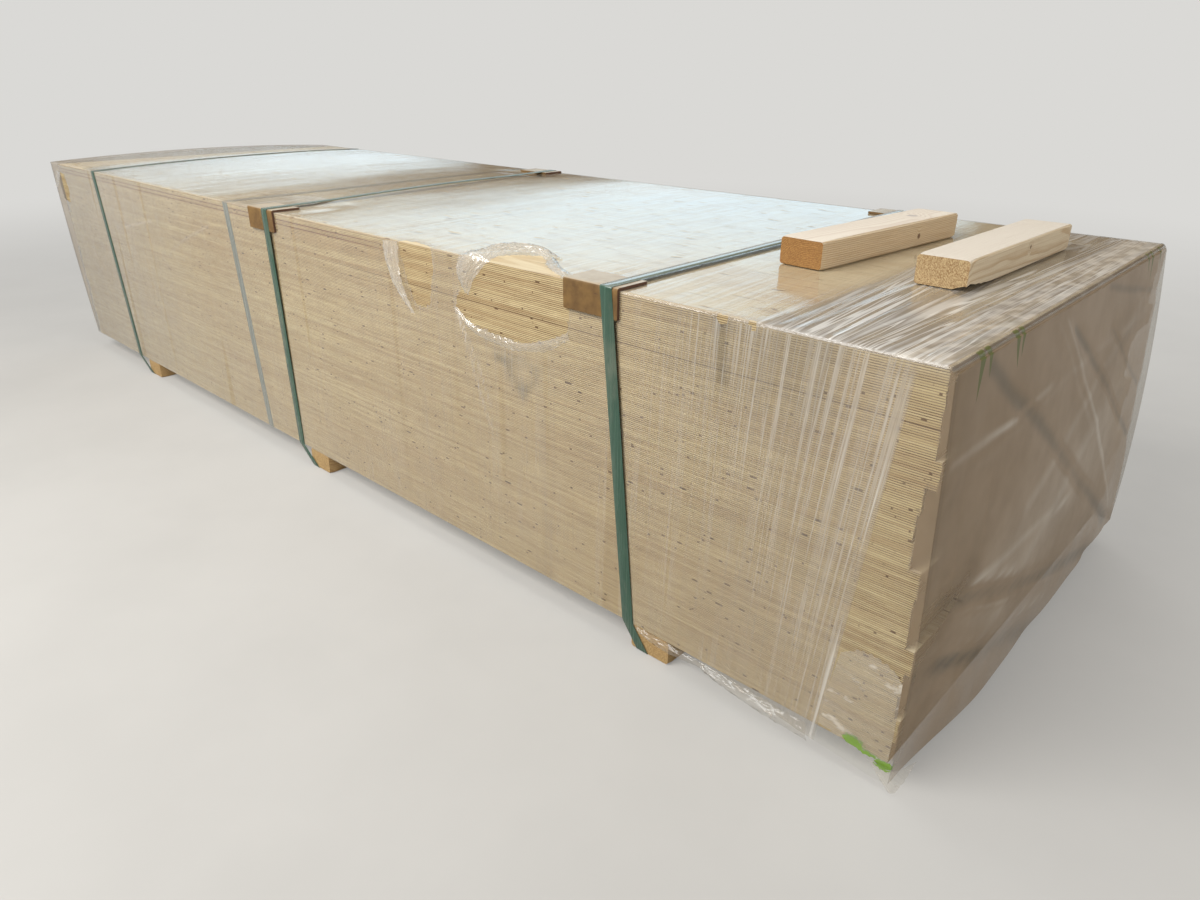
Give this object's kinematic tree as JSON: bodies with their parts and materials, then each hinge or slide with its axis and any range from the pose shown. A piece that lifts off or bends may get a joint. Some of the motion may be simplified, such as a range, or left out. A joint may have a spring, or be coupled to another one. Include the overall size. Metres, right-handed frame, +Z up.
{
  "type": "stack of laminated veneer lumber",
  "caption": "Stack of laminated veneer lumber panels on timber bearers, wrapped in clear film and strapped over board edge protectors, with loose timber blocks on top.",
  "frame": {"origin": "on the floor, under the middle of the middle bearer", "axes": "+X along the panels to the near, stepped end; +Y across the stack from its front long side to its back one; +Z up"},
  "size_m": [3.1701, 1.0438, 0.6824],
  "materials": {
    "lvl": "bare sawn veneer edges",
    "timber": "rough sawn softwood",
    "strap_green": "embossed plastic strap",
    "strap_grey": "dusty plastic strap seen through film",
    "board": "matt brown fibreboard",
    "film": "clear wrinkled film"
  },
  "bodies": {
    "root": {"lvl_panel_01": "lvl", "lvl_panel_02": "lvl", "lvl_panel_03": "lvl", "lvl_panel_04": "lvl", "lvl_panel_05": "lvl", "lvl_panel_06": "lvl", "lvl_panel_07": "lvl", "lvl_panel_08": "lvl", "lvl_panel_09": "lvl", "lvl_panel_10": "lvl", "lvl_panel_11": "lvl", "lvl_panel_12": "lvl", "lvl_panel_13": "lvl", "lvl_panel_14": "lvl", "lvl_panel_15": "lvl", "bearer_near": "timber", "bearer_middle": "timber", "bearer_far": "timber", "strap_inner": "strap_grey", "strap_near": "strap_green", "strap_middle": "strap_green", "strap_far": "strap_green", "edge_protector_near_front": "board", "edge_protector_near_back": "board", "edge_protector_middle_front": "board", "edge_protector_middle_back": "board", "wrap_film": "film", "spacer_block_a": "timber", "spacer_block_b": "timber"}
  },
  "joints": []
}
